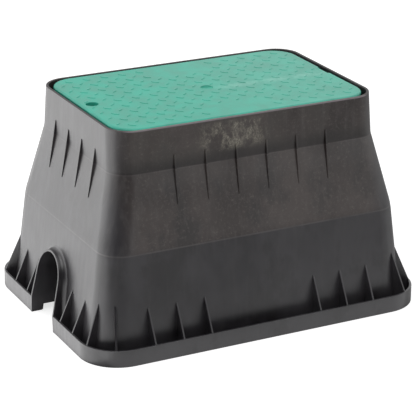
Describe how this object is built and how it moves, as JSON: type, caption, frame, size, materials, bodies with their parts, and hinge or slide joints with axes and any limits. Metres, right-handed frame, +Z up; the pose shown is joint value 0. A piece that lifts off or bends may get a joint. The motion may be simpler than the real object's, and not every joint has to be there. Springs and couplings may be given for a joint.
{
  "type": "irrigation valve box",
  "caption": "Rectangular in-ground valve box: tapered ribbed body open below, arched pipe slots in its ends, drop-in bolt-down tread lid.",
  "frame": {"origin": "centre of the base, on the ground plane", "axes": "+Z up, +X along the length towards the end with the lid's lifting notch, -X the end with the lock bolt"},
  "size_m": [0.501, 0.369, 0.3012],
  "materials": {
    "body_plastic": "satin moulded polyethylene, dark grey",
    "lid_plastic": "satin moulded polyethylene, irrigation green",
    "bolt_steel": "satin stainless steel",
    "ring_steel": "spring steel",
    "insert_brass": "turned brass"
  },
  "bodies": {
    "box": {"box_body": "body_plastic", "threaded_insert": "insert_brass"},
    "lid": {"lid": "lid_plastic", "bolt_washer": "bolt_steel"},
    "bolt": {"lock_bolt": "bolt_steel", "retaining_ring": "ring_steel"}
  },
  "joints": [
    {"name": "lid_lift", "type": "slide", "parent": "box", "child": "lid", "axis": [0, 0, 1], "range_m": [0, 0.15]},
    {"name": "bolt_turn", "type": "hinge", "parent": "lid", "child": "bolt", "pos_m": [-0.1705, 0, 0.28], "axis": [0, 0, 1], "continuous": true}
  ]
}
